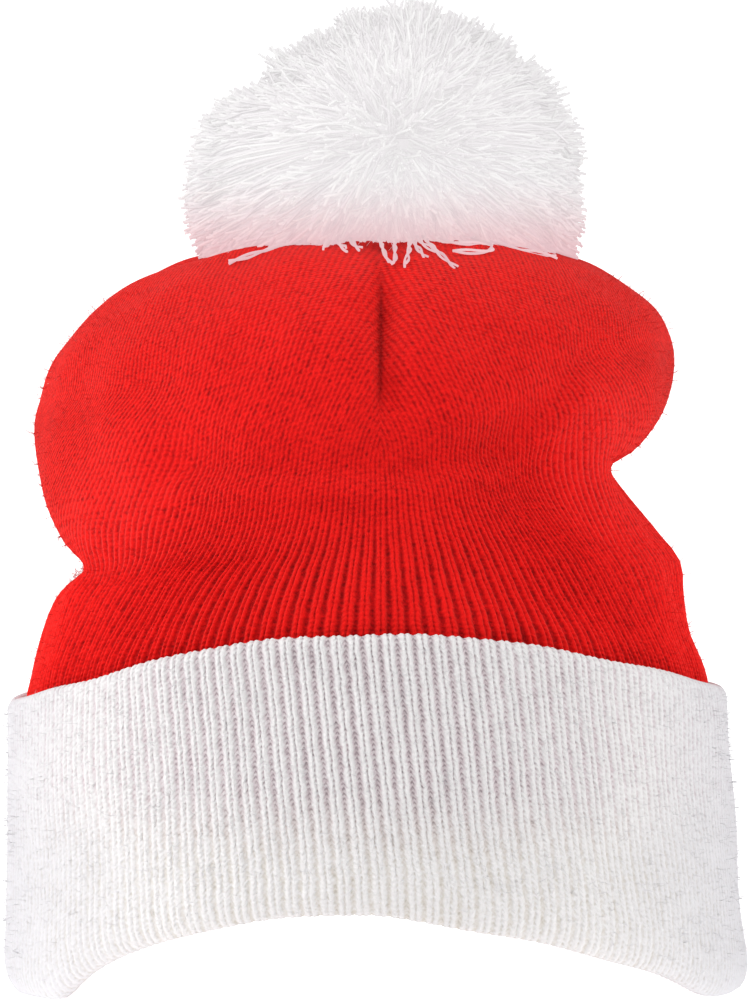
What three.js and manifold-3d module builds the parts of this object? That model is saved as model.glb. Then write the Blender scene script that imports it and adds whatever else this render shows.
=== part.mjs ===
// A knitted bobble hat in Santa colours: a baggy red crown, a white turned-up cuff and a white yarn pompom.
// Millimetres, +Z up, the front of the hat towards -Y. The origin is on the table, under the cuff's middle.
import * as THREE from "three";
import { mergeVertices } from "three/addons/utils/BufferGeometryUtils.js";
import Module from "manifold-3d";

const wasm = await Module();
wasm.setup();

const { degToRad, radToDeg, clamp, smoothstep } = THREE.MathUtils;
const FULL_TURN = 2 * Math.PI;

// Rib knit: a raised wale and a sunken one make a rib, and both colours share the same ribs.
const RIBS = 136;
const RIB_DEPTH = 0.8;
const RIB_COLUMNS = 2 * RIBS;
const LINING_COLUMNS = 44; // the unseen inner faces are smooth
const SEAT_GAP = 0.3; // clearance between two pieces that touch

// Cuff
const CUFF_WIDTH = 174;
const CUFF_DEPTH = 200;
const CUFF_SIDE_TOP = 69; // height of the top edge over the ears
const CUFF_FRONT_RISE = 15.4; // how much higher that edge runs at the front and back
const CUFF_TOP_TILT = 1.6; // the right side of that edge is higher and the left lower by this
const CUFF_LEAN = 2.4; // how far the band leans in from bottom to top
const CUFF_SWAY = -2; // sideways sway of the top edge
const CUFF_WALL = 3.6; // rib knit, turned up
const LAYER_GAP = 1.2;
const BULGE_HEIGHT = 9; // the band is widest this far above its bottom fold
const COLOUR_CHANGE_DEPTH = 13; // the red knitting starts this far below the top edge

// The bottom fold lifts off the table at the front and back, a row for each side of the middle.
// reach: degrees round from the front where the fold comes down. bend: 1 is a straight run, 2 a round one.
const ARCH_HEIGHT = 22.6;
const ARCH_SIDES = {
  left: { reach: 60.5, bend: 2.3 },
  right: { reach: 66, bend: 1.3 },
};
const ARCH_EASE = 0.1; // rounding of the corner where the arch meets the table

// Cuff section, from the lip down the outside, under the fold and up the inside.
// inset: distance in from the outer face. level: share of the way from the fold to the top edge.
// lift: height added to that. rib: share of the rib relief.
const LINING_INSET = CUFF_WALL + LAYER_GAP;
const CROWN_WALL = 3;
const CUFF_PROFILE = [
  { inset: CUFF_WALL, level: 1, lift: -2.4, rib: 0 }, // lip, crown side
  { inset: 2.2, level: 1, lift: 0, rib: 0.7 }, // lip, top
  { inset: 0.4, level: 1, lift: -2.6, rib: 1 }, // lip, outer side
  { inset: 0.6, level: 0.5, lift: 0, rib: 1 }, // outer face
  { inset: 0, level: 0, lift: BULGE_HEIGHT, rib: 1 }, // bulge of the fold
  { inset: 1.3, level: 0, lift: 3, rib: 0.8 }, // under the bulge
  { inset: 4.2, level: 0, lift: 0, rib: 0.4 }, // sole, outer edge
  { inset: 7.4, level: 0, lift: 0, rib: 0 }, // sole, inner edge
  { inset: LINING_INSET + CROWN_WALL + 1.2, level: 0, lift: 7, rib: 0 }, // inside of the fold
  { inset: LINING_INSET + CROWN_WALL, level: 1, lift: -COLOUR_CHANGE_DEPTH, rib: 0 }, // lining, head side
  { inset: LINING_INSET, level: 1, lift: -COLOUR_CHANGE_DEPTH, rib: 0 }, // lining, cuff side
  { inset: LINING_INSET - LAYER_GAP / 2, level: 0, lift: 10, rib: 0 }, // foot of the slot between layers
];

// Crown outline, a row for each level from the hidden lower edge to the point under the pompom.
// up: height of the ring's middle. tilt: degrees, right side up. half: half width. shift: sideways middle.
// front, back: depths from the middle. rise: share of the cuff's front rise that the ring follows.
// pinch: how far the fold round the sides and back pulls the ring in.
const CROWN_ROWS = [
  { up: 56, tilt: 1.16, half: 79, shift: -1.6, front: 92, back: 92, rise: 1, pinch: 0 }, // edge in the cuff
  { up: 70, tilt: 1, half: 78.8, shift: -1.8, front: 91.6, back: 91.6, rise: 1, pinch: 0 }, // cuff line
  { up: 82.3, tilt: 0.6, half: 75.3, shift: -2.2, front: 89, back: 89.5, rise: 0.8, pinch: 0 }, // flank
  { up: 90.9, tilt: 0.9, half: 73.2, shift: -1.5, front: 86.5, back: 88, rise: 0.65, pinch: 0 }, // temples
  { up: 96.5, tilt: 2.4, half: 71.4, shift: -0.4, front: 84.7, back: 87, rise: 0.55, pinch: 0 }, // brow
  { up: 101.1, tilt: 4.7, half: 68.8, shift: -2.2, front: 83.5, back: 86.5, rise: 0.5, pinch: 1.5 }, // dip
  { up: 109.7, tilt: 10.3, half: 70.3, shift: -6.6, front: 82.5, back: 87, rise: 0.4, pinch: 8.5 }, // fold
  { up: 115.6, tilt: 9.1, half: 71.5, shift: -5.8, front: 82.5, back: 88, rise: 0.3, pinch: 3.6 }, // lip
  { up: 125.1, tilt: 7.9, half: 73.2, shift: -5.2, front: 82.5, back: 88.5, rise: 0.1, pinch: 0.3 }, // foot
  { up: 137.5, tilt: 6.2, half: 74.5, shift: -5.2, front: 81, back: 87.5, rise: 0, pinch: 0 }, // widest
  { up: 145.5, tilt: 5.5, half: 73.2, shift: -5, front: 78, back: 84.5, rise: 0, pinch: 0 }, // upper bag
  { up: 154, tilt: 4.3, half: 69.1, shift: -4.6, front: 72, back: 77.5, rise: 0, pinch: 0 }, // shoulder
  { up: 163.6, tilt: 2.4, half: 58.6, shift: -2.9, front: 60.5, back: 64, rise: 0, pinch: 0 }, // turn
  { up: 169.6, tilt: 1.7, half: 46, shift: -1, front: 47, back: 49, rise: 0, pinch: 0 }, // upper dome
  { up: 173, tilt: 1, half: 30, shift: 0, front: 30.5, back: 31.5, rise: 0, pinch: 0 }, // under the pompom
  { up: 175, tilt: 0, half: 0, shift: 1, front: 0, back: 0, rise: 0, pinch: 0 }, // where the darts meet
];
const BAG_COLUMNS = 72;
const RIB_FADE = [1, 1, 1, 0.8, 0.3]; // share of the rib relief in the crown's lower rows, below the bag
const TOP_ROW = 14.7; // the last open ring, just short of the point
const FOLD_FADE = { from: -0.7, to: -0.15 }; // sine of the angle over which the fold fades out to the front

// Four sewn darts gather the bag in to its top.
const DARTS = 4;
const DART_TURN = degToRad(5);
const DART_DEPTH = 3.4;
const DART_WIDTH = 5;
const DART_ROWS = { from: 9, to: 12 };

// A soft crease crosses the front of the bag, from the left to the upper right.
const CREASE_POINTS = [
  { across: -44, up: 122 },
  { across: 10, up: 121.5 },
  { across: 29, up: 126 },
  { across: 48, up: 144 },
];
const CREASE_DEPTH = 2.6;
const CREASE_WIDTH = 6;

// Pompom
const POMPOM_MIDDLE = new THREE.Vector3(2.7, 1, 185.5);
const YARN_REACH = 47; // from the middle to the cut ends
const YARN_JITTER = 1.2;
const HEAD_SHARE = 0.84; // the packed yarn fills this share of the reach
const HEAD_FACETS = [12, 8]; // round and from top to bottom
const LOCKS = 40;
const LOCK_SIDES = 5;
// Half section of a lock. along: share of the reach from the middle. radius: half its width there.
const LOCK_PROFILE = [
  { along: 0.7, radius: 0 },
  { along: 0.7, radius: 6 },
  { along: 0.89, radius: 10 },
  { along: 1, radius: 0 },
];
const POMPOM_SEAT_COLUMNS = 36; // facets round its underside
const POMPOM_SEAT_ROW = 10; // the crown's row below which no yarn hangs
const POMPOM_SEAT_GAP = 0.5;
const LOWEST_LOCK = -0.42; // sine of the steepest downward lock
const GOLDEN_TURN = Math.PI * (3 - Math.sqrt(5));

// Partings between the bunches of yarn. turn: degrees round from +X. lift: degrees up.
// depth: how much shorter the yarn looks there. spread: degrees over which it recovers.
const PARTINGS = [
  { turn: 182, lift: 41, depth: 9, spread: 11 }, // between the left and top bunches
  { turn: 186, lift: 62, depth: 5, spread: 14 }, // left shoulder of the top bunch
  { turn: 274, lift: 16, depth: 7, spread: 15 }, // hollow at the front where three bunches part
  { turn: 262, lift: 48, depth: 4, spread: 14 }, // its upper end
  { turn: 0, lift: 1, depth: 2.5, spread: 8 }, // right
  { turn: 80, lift: 30, depth: 6, spread: 15 }, // back
  { turn: 128, lift: 5, depth: 4, spread: 12 }, // back left
];

// Height of the cuff's bottom fold at an angle round the hat, zero where it rests.
function foldHeight(angle) {
  const { reach, bend } = Math.cos(angle) < 0 ? ARCH_SIDES.left : ARCH_SIDES.right;
  const fromFront = Math.acos(Math.min(1, Math.abs(Math.sin(angle))));
  const span = 1 - (fromFront / degToRad(reach)) ** bend;
  if (span <= -ARCH_EASE) return 0;
  const eased = span < ARCH_EASE ? (span + ARCH_EASE) ** 2 / (4 * ARCH_EASE) : span;
  return ARCH_HEIGHT * eased;
}

// Extra height of the cuff's top edge at an angle round the hat.
function frontRise(angle) {
  return CUFF_FRONT_RISE * Math.sin(angle) ** 2;
}

function ringOf(columns, pointAt) {
  const step = FULL_TURN / columns;
  return Array.from({ length: columns }, (_, column) => pointAt(step * column, column % 2));
}

// Closed skin over a stack of rings round the Z axis, which may have different numbers of points.
// With two poles the first and last rings close on them, and without poles on each other.
function skinOver(rings, poles = []) {
  const points = rings.flat();
  const starts = rings.map((_, k) => rings.slice(0, k).flat().length);
  const index = [];
  const bands = poles.length ? rings.length - 1 : rings.length;
  for (let k = 0; k < bands; k++) {
    const next = (k + 1) % rings.length;
    const [counts, base] = [[rings[k].length, rings[next].length], [starts[k], starts[next]]];
    let [i, j] = [0, 0];
    while (i < counts[0] || j < counts[1]) {
      const here = base[0] + (i % counts[0]);
      const there = base[1] + (j % counts[1]);
      if ((i + 1) * counts[1] <= (j + 1) * counts[0]) {
        i += 1;
        index.push(here, there, base[0] + (i % counts[0]));
      } else {
        j += 1;
        index.push(here, there, base[1] + (j % counts[1]));
      }
    }
  }
  poles.forEach((pole, end) => {
    const ring = end === 0 ? 0 : rings.length - 1;
    const count = rings[ring].length;
    for (let i = 0; i < count; i++) {
      const edge = [starts[ring] + i, starts[ring] + ((i + 1) % count)];
      index.push(points.length, ...(end === 0 ? edge : edge.reverse()));
    }
    points.push(pole);
  });
  const geometry = new THREE.BufferGeometry().setFromPoints(points);
  geometry.setIndex(index);
  return geometry;
}

function solidOf(geometry) {
  const bare = geometry.clone();
  bare.deleteAttribute("normal");
  bare.deleteAttribute("uv");
  const merged = mergeVertices(bare, 1e-4);
  const vertProperties = merged.getAttribute("position").array;
  const triVerts = new Uint32Array(merged.index.array);
  return new wasm.Manifold(new wasm.Mesh({ numProp: 3, vertProperties, triVerts }));
}

function geometryOf(solid) {
  const mesh = solid.getMesh();
  const geometry = new THREE.BufferGeometry();
  geometry.setAttribute("position", new THREE.Float32BufferAttribute(mesh.vertProperties, mesh.numProp));
  geometry.setIndex(new THREE.BufferAttribute(mesh.triVerts, 1));
  return geometry;
}

// A point of the cuff's section at an angle round the hat. sunken is 1 in the furrow between two ribs.
function cuffPoint({ inset, level, lift, rib }, angle, sunken) {
  const bottom = foldHeight(angle);
  const top = CUFF_SIDE_TOP + frontRise(angle) + CUFF_TOP_TILT * Math.cos(angle);
  const height = bottom + level * (top - bottom) + lift;
  const share = (height - BULGE_HEIGHT) / CUFF_SIDE_TOP;
  const inward = inset + CUFF_LEAN * share + sunken * rib * RIB_DEPTH;
  const offTable = Math.min(1, bottom / RIB_DEPTH);
  const scallop = lift === 0 && level === 0 ? sunken * rib * RIB_DEPTH * offTable : 0;
  return new THREE.Vector3(
    (CUFF_WIDTH / 2 - inward) * Math.cos(angle) + CUFF_SWAY * share,
    (CUFF_DEPTH / 2 - inward) * Math.sin(angle),
    height + scallop,
  );
}

// Cuff: one knitted band folded up on itself, ribbed outside.
function makeCuff() {
  return skinOver(
    CUFF_PROFILE.map((place) => {
      const columns = place.rib ? RIB_COLUMNS : LINING_COLUMNS;
      return ringOf(columns, (angle, sunken) => cuffPoint(place, angle, sunken));
    }),
  );
}

// Smooth curve through one column of the crown's table.
function rowValue(column, row) {
  const last = CROWN_ROWS.length - 1;
  const start = clamp(Math.floor(row), 0, last - 1);
  const t = clamp(row - start, 0, 1);
  const [before, from, to, after] = [-1, 0, 1, 2].map((k) => CROWN_ROWS[clamp(start + k, 0, last)][column]);
  const leave = (to - before) / 2;
  const arrive = (after - from) / 2;
  const cubic = 2 * (from - to) + leave + arrive;
  const square = 3 * (to - from) - 2 * leave - arrive;
  return ((cubic * t + square) * t + leave) * t + from;
}

// A point of the bag before its darts and front crease.
function bagPoint(angle, row) {
  const tilt = degToRad(rowValue("tilt", row));
  const pinch = rowValue("pinch", row) * smoothstep(Math.sin(angle), FOLD_FADE.from, FOLD_FADE.to);
  const depth = rowValue(Math.sin(angle) < 0 ? "front" : "back", row);
  const reach = Math.max(0, rowValue("half", row) - pinch) * Math.cos(angle);
  return new THREE.Vector3(
    rowValue("shift", row) + reach * Math.cos(tilt),
    Math.max(0, depth - pinch) * Math.sin(angle),
    rowValue("up", row) + reach * Math.sin(tilt) + rowValue("rise", row) * frontRise(angle) + SEAT_GAP,
  );
}

function outwardFrom(angle, row) {
  const step = 1e-2;
  const round = bagPoint(angle + step, row).sub(bagPoint(angle - step, row));
  const along = bagPoint(angle, row + step).sub(bagPoint(angle, row - step));
  return round.cross(along).normalize();
}

function dartDent(angle, row) {
  const gore = FULL_TURN / DARTS;
  const turned = angle - DART_TURN;
  const distance = Math.abs(turned - gore * Math.round(turned / gore)) * rowValue("half", row);
  const onset = smoothstep(row, DART_ROWS.from, DART_ROWS.to);
  return DART_DEPTH * onset * Math.exp(-((distance / DART_WIDTH) ** 2));
}

function creaseDent(point) {
  if (point.y > 0) return 0;
  const seen = new THREE.Vector2(point.x, point.z);
  let nearest = Infinity;
  for (let k = 0; k + 1 < CREASE_POINTS.length; k++) {
    const from = new THREE.Vector2(CREASE_POINTS[k].across, CREASE_POINTS[k].up);
    const run = new THREE.Vector2(CREASE_POINTS[k + 1].across, CREASE_POINTS[k + 1].up).sub(from);
    const share = clamp(seen.clone().sub(from).dot(run) / run.lengthSq(), 0, 1);
    nearest = Math.min(nearest, from.addScaledVector(run, share).distanceTo(seen));
  }
  return CREASE_DEPTH * Math.exp(-((nearest / CREASE_WIDTH) ** 2));
}

// A point of the crown's wall at a depth below its outer face.
function crownPoint(angle, row, depth) {
  const point = bagPoint(angle, row);
  const dent = dartDent(angle, row) + creaseDent(point);
  return point.addScaledVector(outwardFrom(angle, row), -dent - depth);
}

function crownPole(depth) {
  const top = CROWN_ROWS.at(-1);
  return new THREE.Vector3(top.shift, 0, top.up + SEAT_GAP - DART_DEPTH - depth);
}

// The rows of the table from one row up, with a last one just short of the point.
function bagRows(firstRow) {
  return [...CROWN_ROWS.slice(firstRow, -1).map((_, k) => firstRow + k), TOP_ROW];
}

function bagRings(columns, firstRow, depth) {
  return bagRows(firstRow).map((row) => ringOf(columns, (angle) => crownPoint(angle, row, depth)));
}

// Crown: a hollow bag, open below, whose lower edge meets the lining of the cuff.
function makeCrown() {
  const ribbed = RIB_FADE.map((relief, row) => {
    return ringOf(RIB_COLUMNS, (angle, sunken) => crownPoint(angle, row, sunken * relief * RIB_DEPTH));
  });
  const outside = [...ribbed, ...bagRings(BAG_COLUMNS, RIB_FADE.length, 0)];
  const inside = bagRings(LINING_COLUMNS, 0, CROWN_WALL);
  return skinOver([...outside.reverse(), ...inside], [crownPole(0), crownPole(CROWN_WALL)]);
}

// The room that the top of the crown takes up, with the pompom's seat gap added and the darts bridged.
function crownRoom() {
  const seatPoint = (angle, row) => {
    return bagPoint(angle, row).addScaledVector(outwardFrom(angle, row), POMPOM_SEAT_GAP);
  };
  const rings = bagRows(POMPOM_SEAT_ROW).map((row) => {
    return ringOf(POMPOM_SEAT_COLUMNS, (angle) => seatPoint(angle, row));
  });
  const peak = crownPole(-DART_DEPTH - POMPOM_SEAT_GAP);
  const floor = new THREE.Vector3(0, 0, CROWN_ROWS[0].up);
  return solidOf(skinOver(rings.reverse(), [peak, floor]));
}

function directionOf(turn, lift) {
  const level = Math.cos(lift);
  return new THREE.Vector3(level * Math.cos(turn), level * Math.sin(turn), Math.sin(lift));
}

// How far the yarn reaches from the pompom's middle in a direction.
function yarnReach(direction) {
  return PARTINGS.reduce((reach, { turn, lift, depth, spread }) => {
    const away = radToDeg(direction.angleTo(directionOf(degToRad(turn), degToRad(lift))));
    return reach - depth * Math.exp(-((away / spread) ** 2));
  }, YARN_REACH);
}

// One lock of yarn: a tuft that widens out of the packed yarn to its blunt cut end.
function makeLock(number) {
  const lift = Math.asin(LOWEST_LOCK + ((1 - LOWEST_LOCK) * (number + 0.5)) / LOCKS);
  const direction = directionOf(number * GOLDEN_TURN, lift);
  const reach = yarnReach(direction) + YARN_JITTER * Math.sin(number * number);
  const section = LOCK_PROFILE.map(({ along, radius }) => new THREE.Vector2(radius, along * reach));
  const lock = new THREE.LatheGeometry(section, LOCK_SIDES);
  lock.applyQuaternion(new THREE.Quaternion().setFromUnitVectors(new THREE.Vector3(0, 1, 0), direction));
  lock.translate(...POMPOM_MIDDLE);
  return solidOf(lock);
}

// Pompom: packed yarn with its locks fused on, seated on top of the crown.
function makePompom() {
  const head = new THREE.SphereGeometry(1, ...HEAD_FACETS);
  const place = head.getAttribute("position");
  for (let k = 0; k < place.count; k++) {
    const spot = new THREE.Vector3().fromBufferAttribute(place, k).normalize();
    place.setXYZ(k, ...spot.multiplyScalar(HEAD_SHARE * yarnReach(spot)).add(POMPOM_MIDDLE));
  }
  let yarn = solidOf(head);
  for (let number = 0; number < LOCKS; number++) yarn = yarn.add(makeLock(number));
  return geometryOf(yarn.subtract(crownRoom()));
}

const hat = new THREE.Group();

function addPiece(name, geometry, color, roughness) {
  const mesh = new THREE.Mesh(geometry, new THREE.MeshStandardMaterial({ color, roughness, metalness: 0 }));
  mesh.name = name;
  hat.add(mesh);
}

addPiece("crown", makeCrown(), "#d41a1a", 0.9);
addPiece("cuff", makeCuff(), "#eeecea", 0.9);
addPiece("pompom", makePompom(), "#f3f0f0", 0.95);

export default hat;
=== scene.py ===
# %% [markdown]
# # A knitted bobble hat in Santa colours
# The real hat is three pieces of acrylic yarn: a slouching red bag of rib knit, a white rib-knit cuff that
# is turned up on itself, and a white pompom of cut yarn. Their solids are loaded first. They fix the size
# and the place of everything below, so no piece has to be fitted by eye.

# %% Load the solids and keep their box
from math import radians

import bpy
import numpy as np
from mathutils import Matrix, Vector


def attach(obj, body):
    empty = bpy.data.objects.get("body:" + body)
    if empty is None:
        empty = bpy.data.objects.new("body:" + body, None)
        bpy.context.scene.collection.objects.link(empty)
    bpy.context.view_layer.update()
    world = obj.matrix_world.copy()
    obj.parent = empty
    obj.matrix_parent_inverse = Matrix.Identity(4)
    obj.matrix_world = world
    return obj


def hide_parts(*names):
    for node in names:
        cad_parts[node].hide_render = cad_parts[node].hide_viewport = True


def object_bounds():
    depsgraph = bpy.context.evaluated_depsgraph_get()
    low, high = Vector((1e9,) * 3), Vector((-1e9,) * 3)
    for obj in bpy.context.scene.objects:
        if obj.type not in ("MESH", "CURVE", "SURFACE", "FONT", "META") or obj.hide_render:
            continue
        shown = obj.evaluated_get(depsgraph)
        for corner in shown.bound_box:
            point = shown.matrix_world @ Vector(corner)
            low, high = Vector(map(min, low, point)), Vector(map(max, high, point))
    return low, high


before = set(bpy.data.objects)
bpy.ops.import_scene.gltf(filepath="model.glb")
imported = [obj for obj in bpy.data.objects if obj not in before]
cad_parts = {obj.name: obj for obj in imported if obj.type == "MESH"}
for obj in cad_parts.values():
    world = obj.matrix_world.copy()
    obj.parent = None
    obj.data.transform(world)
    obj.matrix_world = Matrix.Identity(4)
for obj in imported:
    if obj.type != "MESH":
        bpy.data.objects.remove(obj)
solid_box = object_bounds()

MM = 0.001
print("solids:", sorted(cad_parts), "top in mm:", round(solid_box[1].z / MM, 1))

# %% [markdown]
# ## Camera
# The photograph was taken level with the middle of the hat through a long lens, so the near and far edges
# of the cuff's opening hardly differ in size. A camera two metres away with a long lens gives the same flat
# view. The lens follows from how many pixels a millimetre takes up at the hat's middle.

# %% Camera at the photograph's place
PHOTO_HEIGHT_PIXELS = 1000
PIXELS_PER_MM = 4.27
CAMERA_DISTANCE = 2000
CAMERA_HEIGHT = 114.3
SENSOR = 36

camera_data = bpy.data.cameras.new("photo_camera")
camera_data.sensor_width = SENSOR
camera_data.lens = SENSOR * CAMERA_DISTANCE * PIXELS_PER_MM / PHOTO_HEIGHT_PIXELS
camera = bpy.data.objects.new("photo_camera", camera_data)
camera.location = (0, -CAMERA_DISTANCE * MM, CAMERA_HEIGHT * MM)
camera.rotation_euler = (radians(90), 0, 0)
bpy.context.scene.collection.objects.link(camera)
bpy.context.scene.camera = camera
print("camera lens in mm:", round(camera_data.lens))

# %% [markdown]
# ## Helpers for colours, nodes and meshes
# Colours are picked as sRGB hex values, the way that paint programs show them, but shaders work in linear
# light, so one function converts them. Shader networks are long lists of nodes, and one small function makes
# a node, sets its options and links or fills its inputs. The kinds that come up most get a short form of
# it. All meshes here come from number arrays, which is far quicker than adding faces one at a time.

# %% Colour and node helpers
SMOOTH = {"interpolation_type": "SMOOTHSTEP"}


def linear(hex_colour):
    share = np.array([int(hex_colour[k : k + 2], 16) / 255 for k in (1, 3, 5)])
    light = np.where(share <= 0.04045, share / 12.92, ((share + 0.055) / 1.055) ** 2.4)
    return (*light.tolist(), 1.0)


def add_node(tree, kind, inputs=None, **settings):
    made = tree.nodes.new("ShaderNode" + kind)
    for name, value in settings.items():
        setattr(made, name, value)
    for socket, value in (inputs or {}).items():
        if isinstance(value, bpy.types.NodeSocket):
            tree.links.new(value, made.inputs[socket])
        else:
            made.inputs[socket].default_value = value
    return made.outputs


def maths(tree, operation, *values):
    return add_node(tree, "Math", dict(enumerate(values)), operation=operation)[0]


def vectors(tree, operation, *values):
    return add_node(tree, "VectorMath", dict(enumerate(values)), operation=operation)


def ranged(tree, value, ends, span=(0.0, 1.0), **settings):
    """The value carried from the span to the two ends."""
    names = ("Value", "From Min", "From Max", "To Min", "To Max")
    return add_node(tree, "MapRange", dict(zip(names, (value, *span, *ends))), **settings)[0]


def noise(tree, vector, scale, detail):
    return add_node(tree, "TexNoise", {"Vector": vector, "Scale": scale, "Detail": detail})[0]


def mixed(tree, share, first, second, **settings):
    return add_node(tree, "Mix", {0: share, 6: first, 7: second}, data_type="RGBA", **settings)[2]


def colour_ramp(tree, value, *stops):
    ramp = add_node(tree, "ValToRGB", {"Fac": value})[0]
    elements = ramp.node.color_ramp.elements
    elements.remove(elements[1])
    for position, colour in stops:
        elements.new(position).color = linear(colour)
    elements.remove(elements[0])
    return ramp


def new_material(name):
    material = bpy.data.materials.new(name)
    material.use_nodes = True
    material.node_tree.nodes.clear()
    return material, material.node_tree


def finish_material(tree, *looks):
    settings = {socket: value for look in looks for socket, value in look.items()}
    surface = add_node(tree, "BsdfPrincipled", settings)[0]
    add_node(tree, "OutputMaterial", {"Surface": surface})


print("white in linear light:", linear("#ffffff"))

# %% Mesh helpers
def mesh_object(name, points, face_groups, material, uv_groups=None, fields=None):
    """An object from points in millimetres and arrays of faces, each array all triangles or all quads."""
    mesh = bpy.data.meshes.new(name)
    corners = np.concatenate([group.ravel() for group in face_groups])
    sides = np.concatenate([np.full(len(group), group.shape[1]) for group in face_groups])
    mesh.vertices.add(len(points))
    mesh.vertices.foreach_set("co", (points * MM).astype(np.float32).ravel())
    mesh.loops.add(len(corners))
    mesh.loops.foreach_set("vertex_index", corners.astype(np.int32))
    mesh.polygons.add(len(sides))
    mesh.polygons.foreach_set("loop_start", (np.cumsum(sides) - sides).astype(np.int32))
    mesh.polygons.foreach_set("use_smooth", np.ones(len(sides), dtype=bool))
    if uv_groups is not None:
        uv = np.concatenate([group.reshape(-1, 2) for group in uv_groups])
        mesh.uv_layers.new(name="knit").data.foreach_set("uv", uv.astype(np.float32).ravel())
    for field, values in (fields or {}).items():
        attribute = mesh.attributes.new(field, "FLOAT", "POINT")
        attribute.data.foreach_set("value", values.astype(np.float32).ravel())
    mesh.update(calc_edges=True)
    made = bpy.data.objects.new(name, mesh)
    made.data.materials.append(material)
    bpy.context.scene.collection.objects.link(made)
    return made


def add_piece(made, node):
    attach(made, "root")
    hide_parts(node)
    triangles = sum(len(face.vertices) - 2 for face in made.data.polygons)
    print(made.name, "stands for", node, "with", triangles, "triangles")


print("mesh helpers ready")

# %% [markdown]
# ## Studio
# A hat like this is photographed on a lit sweep: a white acrylic sheet that glows from below and bends up far
# behind, so that no corner and hardly a shadow shows. It is large enough for the hat to be seen from every
# side. It is dimmed in front, or the bottom edge of the cuff would melt into it, and glows more right under
# the hat. Two large soft boxes stand high at the sides, the left one brighter, and a third hangs over the
# pompom. The front is lit by little more than the white room, so the sides of the hat shine and its middle
# is a shade darker.

# %% Lit sweep
SWEEP_HALF_WIDTH = 16000
SWEEP_FRONT = -9000
SWEEP_BEND_START = 6000
SWEEP_BEND_RADIUS = 3000
SWEEP_TOP = 20000
BEND_STEPS = 24
GRAIN = 128  # width of one wave of the sheet's faint mottle
DIMMED = (-160 * MM, -60 * MM)  # from here to here, front to back, the glow comes up
UNDER_HAT = (70 * MM, 95 * MM)  # distance from the origin over which the extra glow fades out

sheet, tree = new_material("lit_white_acrylic_sheet")
grain = add_node(tree, "TexNoise", {"Scale": 2 * SWEEP_HALF_WIDTH / GRAIN, "Detail": 2.0})[0]
place = add_node(tree, "TexCoord")["Object"]
glow_along = ranged(tree, add_node(tree, "SeparateXYZ", {"Vector": place})["Y"], (0.3, 0.78), DIMMED)
glow_under = ranged(tree, vectors(tree, "LENGTH", place)["Value"], (0.2, 0.0), UNDER_HAT)
look = {"Base Color": ranged(tree, grain, (0.74, 0.76)), "Roughness": 0.8}
glow = {"Emission Color": linear("#ffffff"), "Emission Strength": maths(tree, "ADD", glow_along, glow_under)}
finish_material(tree, look, glow)

bend = np.linspace(0, np.pi / 2, BEND_STEPS)
sweep_y = SWEEP_BEND_START + SWEEP_BEND_RADIUS * np.sin(bend)
sweep_z = SWEEP_BEND_RADIUS * (1 - np.cos(bend))
sweep_y = np.concatenate(([SWEEP_FRONT], sweep_y, sweep_y[-1:]))
sweep_z = np.concatenate(([0], sweep_z, [SWEEP_TOP]))
left_edge = np.column_stack((np.full_like(sweep_y, -SWEEP_HALF_WIDTH), sweep_y, sweep_z))
right_edge = left_edge * (-1, 1, 1)
rows = np.arange(len(sweep_y) - 1)
strip = np.column_stack((rows, rows + len(sweep_y), rows + len(sweep_y) + 1, rows + 1))
sweep = mesh_object("lit_sweep", np.concatenate((left_edge, right_edge)), [strip], sheet)
print("sweep in metres, front to bend:", (SWEEP_BEND_START - SWEEP_FRONT) * MM)

# %% Soft boxes and white room
def soft_box(name, place, aim, size, power):
    data = bpy.data.lights.new(name, "AREA")
    data.size = size
    data.energy = power
    lamp = bpy.data.objects.new(name, data)
    lamp.location = place
    lamp.rotation_euler = (aim - lamp.location).to_track_quat("-Z", "Y").to_euler()
    bpy.context.scene.collection.objects.link(lamp)


hat_middle = (solid_box[0] + solid_box[1]) / 2
soft_box("soft_box_left", (-1.2, -0.35, 0.8), hat_middle, 1.1, 10)
soft_box("soft_box_right", (1.2, -0.45, 0.8), hat_middle, 1.1, 6.4)
soft_box("soft_box_over", (-0.25, -0.75, 1.3), hat_middle, 0.9, 6.4)

room = bpy.data.worlds.new("white_room")
room.use_nodes = True
room.node_tree.nodes["Background"].inputs["Color"].default_value = linear("#ffffff")
room.node_tree.nodes["Background"].inputs["Strength"].default_value = 0.5
bpy.context.scene.world = room
bpy.context.scene.view_settings.view_transform = "Standard"
print("studio lights:", [lamp.name for lamp in bpy.data.lights])

# %% [markdown]
# ## Rib knit as a material
# The crown and the cuff are acrylic yarn worked in one-by-one rib: each raised wale is a column of V
# stitches, and between two of them a sunken wale shows as a ladder of bars and small dark holes. The yarn is
# brushed, so it is matt with a soft halo. The wales are shaped in the meshes further down. What is finer
# than a wale comes from this material: its U counts ribs and its V counts courses, so every stitch follows
# the fabric over each fold. The furrows and holes are given a darker colour, which is painted shade. Three
# fields on the mesh say how far the rib is pulled open, how much shade is painted along a seam or crease,
# and how much of the crown's red lies behind it.

# %% Rib knit material
COURSE = 1.15  # one row of stitches, measured on the photograph
FIBRE = 0.22  # the real fibres are 0.02 mm thick, drawn coarser so that they show
HEATHER = 9.0  # length over which the yarn's tone drifts
STITCH_RELIEF = 0.6
SPLIT_EDGE = (0.25, 0.12)  # from the middle of a rib to a strand's brow, in ribs, closed and pulled open
STRAND_EDGE = (0.25, 0.2)  # to where the strand falls away
STRAND_FOOT = (0.5, 0.41)  # to the furrow
FULL_TURN = 2 * np.pi


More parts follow.
